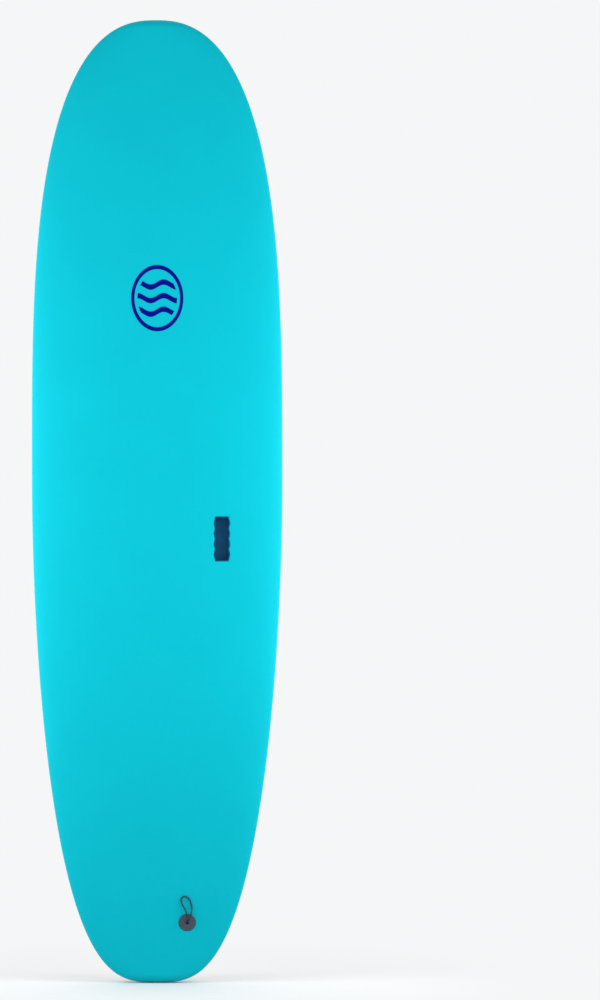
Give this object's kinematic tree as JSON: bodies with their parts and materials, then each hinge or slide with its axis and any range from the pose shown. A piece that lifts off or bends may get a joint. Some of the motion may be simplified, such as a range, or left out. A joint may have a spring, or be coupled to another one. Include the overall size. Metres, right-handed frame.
{
  "type": "surfboard",
  "caption": "Soft-top surfboard with a rounded nose and squash tail, foam deck, slick bottom, hand grip, leash plug with cord loop and slotted fin boxes.",
  "frame": {"origin": "the tail end, on the centreline, in the plane that touches the bottom at its flattest point", "axes": "+Z from the tail to the nose, +Y out of the bottom (the deck faces -Y), +X across, to the side of the hand grip and the leash plug"},
  "size_m": [0.5586, 0.142, 2.134],
  "materials": {
    "deck_foam": "soft closed-cell foam skin, fine pebbled texture, satin",
    "slick_sheet": "smooth plastic sheet, satin gloss",
    "backing_foam": "closed-cell backing foam",
    "glass_laminate": "resin and glass cloth, translucent",
    "core_foam": "white expanded foam, beaded",
    "stringer_wood": "plain sawn wood",
    "grip_plastic": "moulded soft plastic, matte",
    "plug_plastic": "moulded plastic, fine matte grain",
    "base_plastic": "moulded black plastic, satin",
    "box_plastic": "moulded grey plastic",
    "insert_brass": "machined brass",
    "screw_steel": "stainless steel, machined",
    "loop_cord": "braided polyester cord",
    "label_film": "printed film label, satin"
  },
  "bodies": {
    "board": {"deck_skin_tail": "deck_foam", "deck_skin_middle": "deck_foam", "deck_skin_nose": "deck_foam", "bottom_slick": "slick_sheet", "bottom_backing": "backing_foam", "deck_laminate": "glass_laminate", "bottom_laminate": "glass_laminate", "stringer_left": "stringer_wood", "stringer_centre": "stringer_wood", "stringer_right": "stringer_wood", "core_left_outer_tail": "core_foam", "core_left_outer_middle": "core_foam", "core_left_outer_nose": "core_foam", "core_left_inner_tail": "core_foam", "core_left_inner_middle": "core_foam", "core_left_inner_nose": "core_foam", "core_right_inner_tail": "core_foam", "core_right_inner_middle": "core_foam", "core_right_inner_nose": "core_foam", "core_right_outer_tail": "core_foam", "core_right_outer_middle": "core_foam", "core_right_outer_nose": "core_foam", "info_label": "label_film", "grip_cup": "grip_plastic", "leash_plug_top": "plug_plastic", "leash_plug_base": "base_plastic", "leash_loop": "loop_cord", "leash_knot": "loop_cord", "fin_box_left": "box_plastic", "fin_insert_left": "insert_brass", "fin_box_right": "box_plastic", "fin_insert_right": "insert_brass", "fin_box_centre": "box_plastic", "fin_insert_centre": "insert_brass"},
    "screw_left": {"fin_screw_left": "screw_steel"},
    "screw_right": {"fin_screw_right": "screw_steel"},
    "screw_centre": {"fin_screw_centre": "screw_steel"}
  },
  "joints": [
    {"name": "left_fin_screw", "type": "hinge", "parent": "board", "child": "screw_left", "pos_m": [-0.16981, -0.01645, 0.38191], "axis": [-0.0667, 0.9954, -0.0681], "range_deg": [0, 630]},
    {"name": "right_fin_screw", "type": "hinge", "parent": "board", "child": "screw_right", "pos_m": [0.16981, -0.01645, 0.38191], "axis": [0.0667, 0.9954, -0.0681], "range_deg": [0, 630]},
    {"name": "centre_fin_screw", "type": "hinge", "parent": "board", "child": "screw_centre", "pos_m": [0, -0.02706, 0.19392], "axis": [0, 0.9968, -0.0794], "range_deg": [0, 630]}
  ]
}
